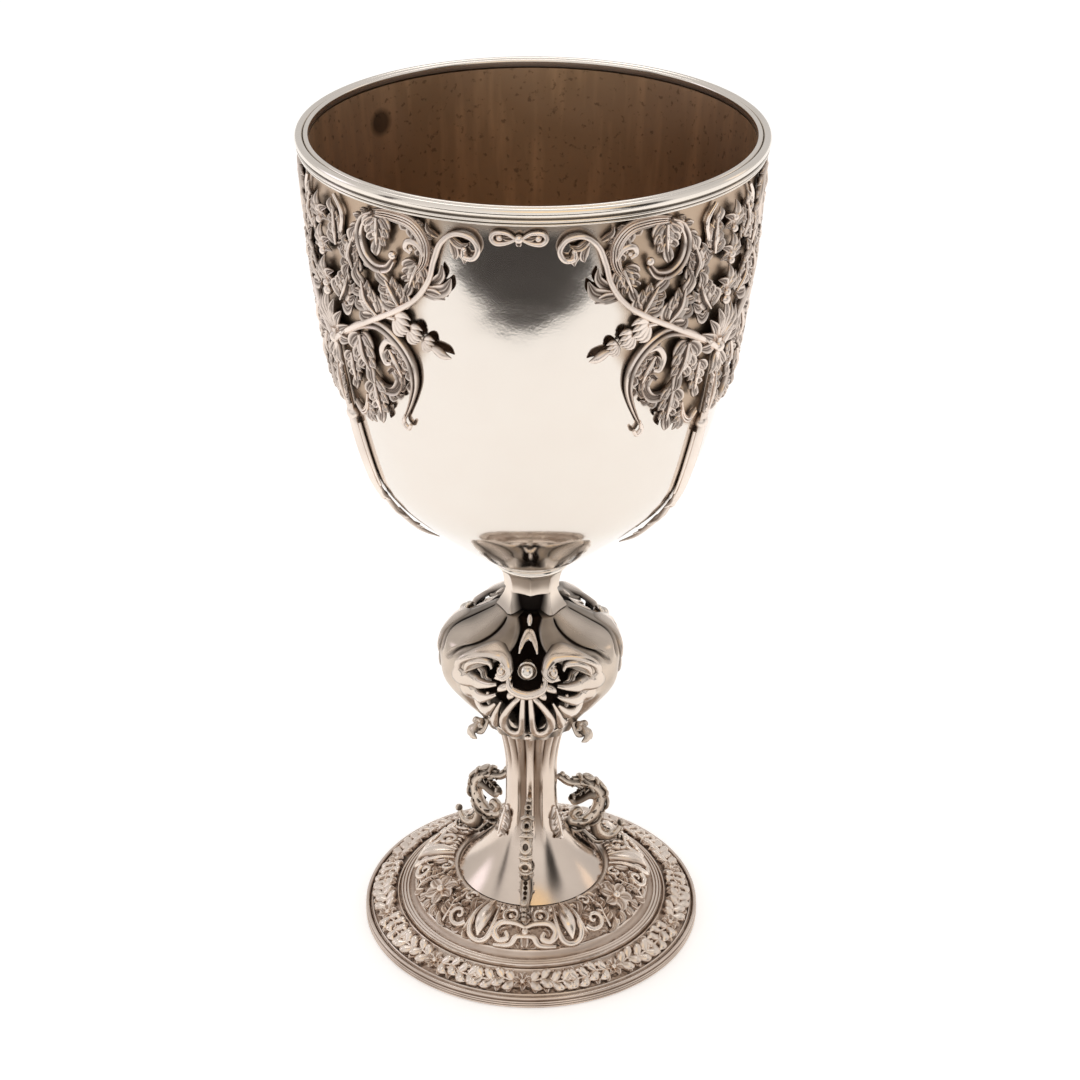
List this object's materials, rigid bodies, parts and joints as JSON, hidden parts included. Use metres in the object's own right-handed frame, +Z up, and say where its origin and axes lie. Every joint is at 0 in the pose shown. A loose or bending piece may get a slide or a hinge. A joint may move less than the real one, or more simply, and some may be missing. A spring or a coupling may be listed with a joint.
{
  "type": "presentation_goblet",
  "caption": "Silver presentation goblet with a deep plain bowl, openwork foliate mounts, a pierced lobed knop, scroll brackets on the stem and a chased round foot.",
  "frame": {"origin": "centre of the goblet's axis at the flat underside of the base ring", "axes": "+Z up along the goblet's axis, -Y to the front panel, +X to the right seen from the front"},
  "size_m": [0.1072, 0.1072, 0.2142],
  "materials": {
    "polished_silver": "polished silver, warm with age",
    "cast_silver": "cast silver, bright on the high parts and dark in the recesses",
    "chased_silver": "chased silver with a dark patina in its ground",
    "steel": "plain turned steel"
  },
  "bodies": {
    "root": {"base_ring": "polished_silver", "foot_flange": "chased_silver", "foot_dome": "chased_silver", "stem_trumpet": "polished_silver", "stem_bracket_1": "cast_silver", "stem_bracket_2": "cast_silver", "stem_bracket_3": "cast_silver", "stem_leaf_1": "cast_silver", "stem_leaf_2": "cast_silver", "stem_leaf_3": "cast_silver", "knop_body": "cast_silver", "knop_cartouche_1": "cast_silver", "knop_cartouche_2": "cast_silver", "knop_cartouche_3": "cast_silver", "knop_boss_1": "polished_silver", "knop_boss_2": "polished_silver", "knop_boss_3": "polished_silver", "knop_pendant_1": "cast_silver", "knop_pendant_2": "cast_silver", "knop_pendant_3": "cast_silver", "neck": "polished_silver", "bowl_collar": "polished_silver", "bowl": "polished_silver", "rim_wire": "polished_silver", "foliage_mount_1": "cast_silver", "foliage_mount_2": "cast_silver", "foliage_mount_3": "cast_silver", "bowl_drop_1": "cast_silver", "bowl_drop_2": "cast_silver", "bowl_drop_3": "cast_silver", "rim_clasp_1": "cast_silver", "rim_clasp_2": "cast_silver", "rim_clasp_3": "cast_silver", "tie_rod": "steel", "tie_nut": "steel", "tie_washer": "steel"}
  },
  "joints": []
}
